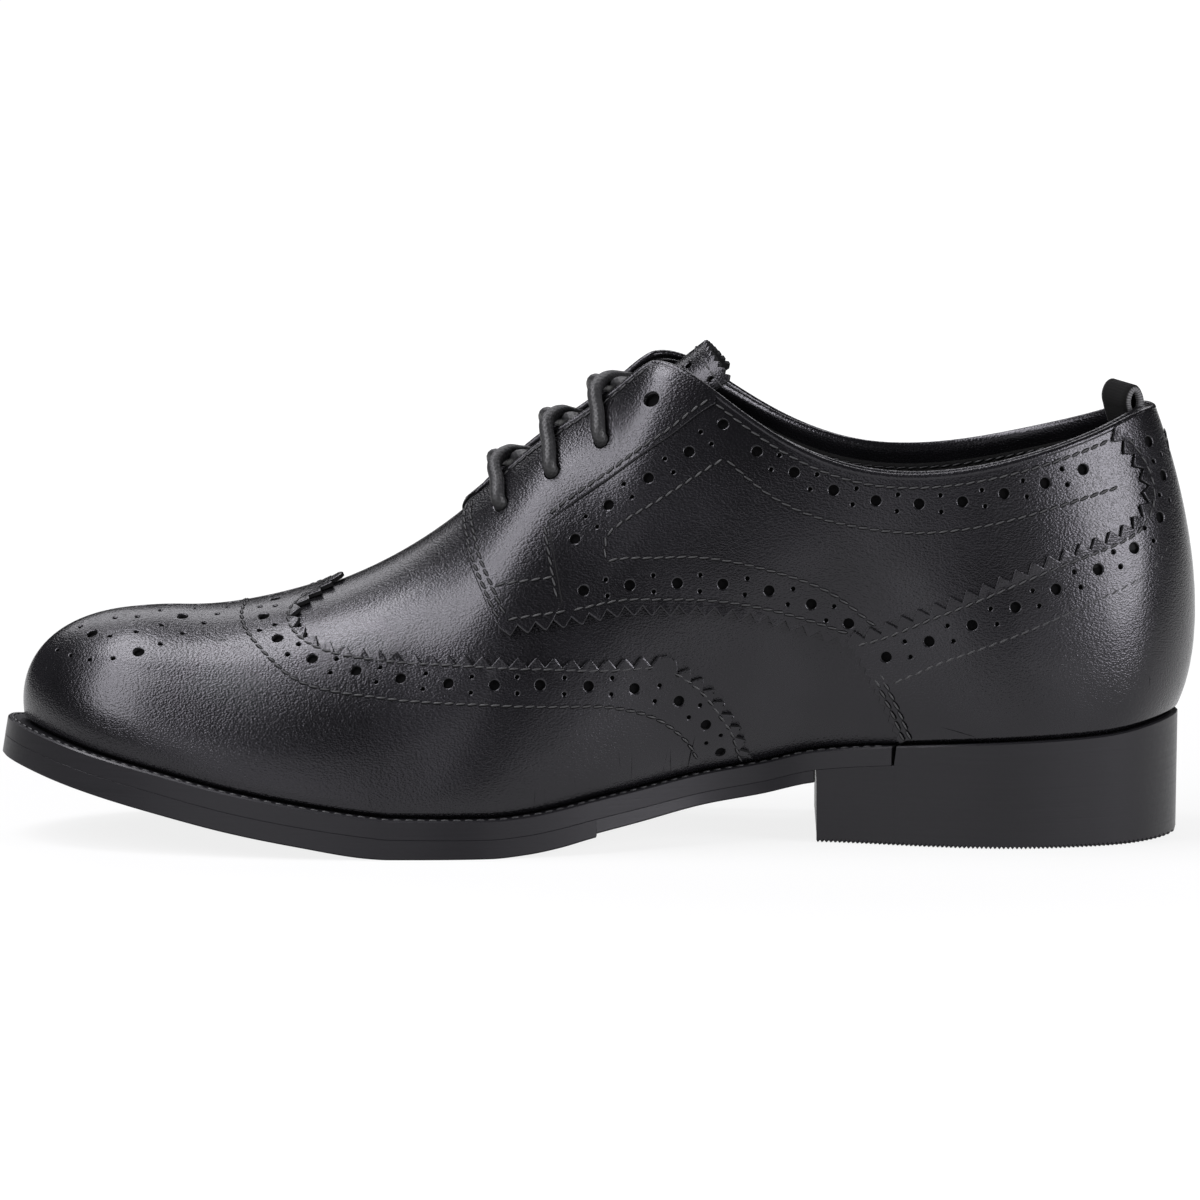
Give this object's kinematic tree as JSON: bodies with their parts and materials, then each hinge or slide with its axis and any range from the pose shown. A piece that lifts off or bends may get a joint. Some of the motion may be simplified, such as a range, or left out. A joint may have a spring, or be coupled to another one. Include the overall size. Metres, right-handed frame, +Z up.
{
  "type": "wing-tip derby brogue shoe",
  "caption": "Black leather wing-tip derby brogue for the right foot, with an open collar and laced throat, a rubber sole with toe spring and arch, and a stacked heel.",
  "frame": {"origin": "middle of the shoe's length and breadth, on the plane it stands on", "axes": "-X towards the toe, -Y towards the medial side, +Z up"},
  "size_m": [0.2614, 0.092, 0.1083],
  "materials": {
    "black_leather": "black full-grain leather with a semi-gloss polish",
    "black_lining": "matt black lining",
    "waxed_lace": "round waxed cotton lace",
    "black_rubber": "satin black moulded rubber"
  },
  "bodies": {
    "root": {"outsole": "black_rubber", "welt": "black_rubber", "heel": "black_rubber", "insole": "black_lining", "upper": "black_leather", "wing_cap": "black_leather", "quarter_medial": "black_leather", "quarter_lateral": "black_leather", "counter": "black_leather", "tongue": "black_leather", "lace_cross_1": "waxed_lace", "lace_cross_2": "waxed_lace", "lace_cross_3": "waxed_lace", "pull_loop": "black_lining"}
  },
  "joints": []
}
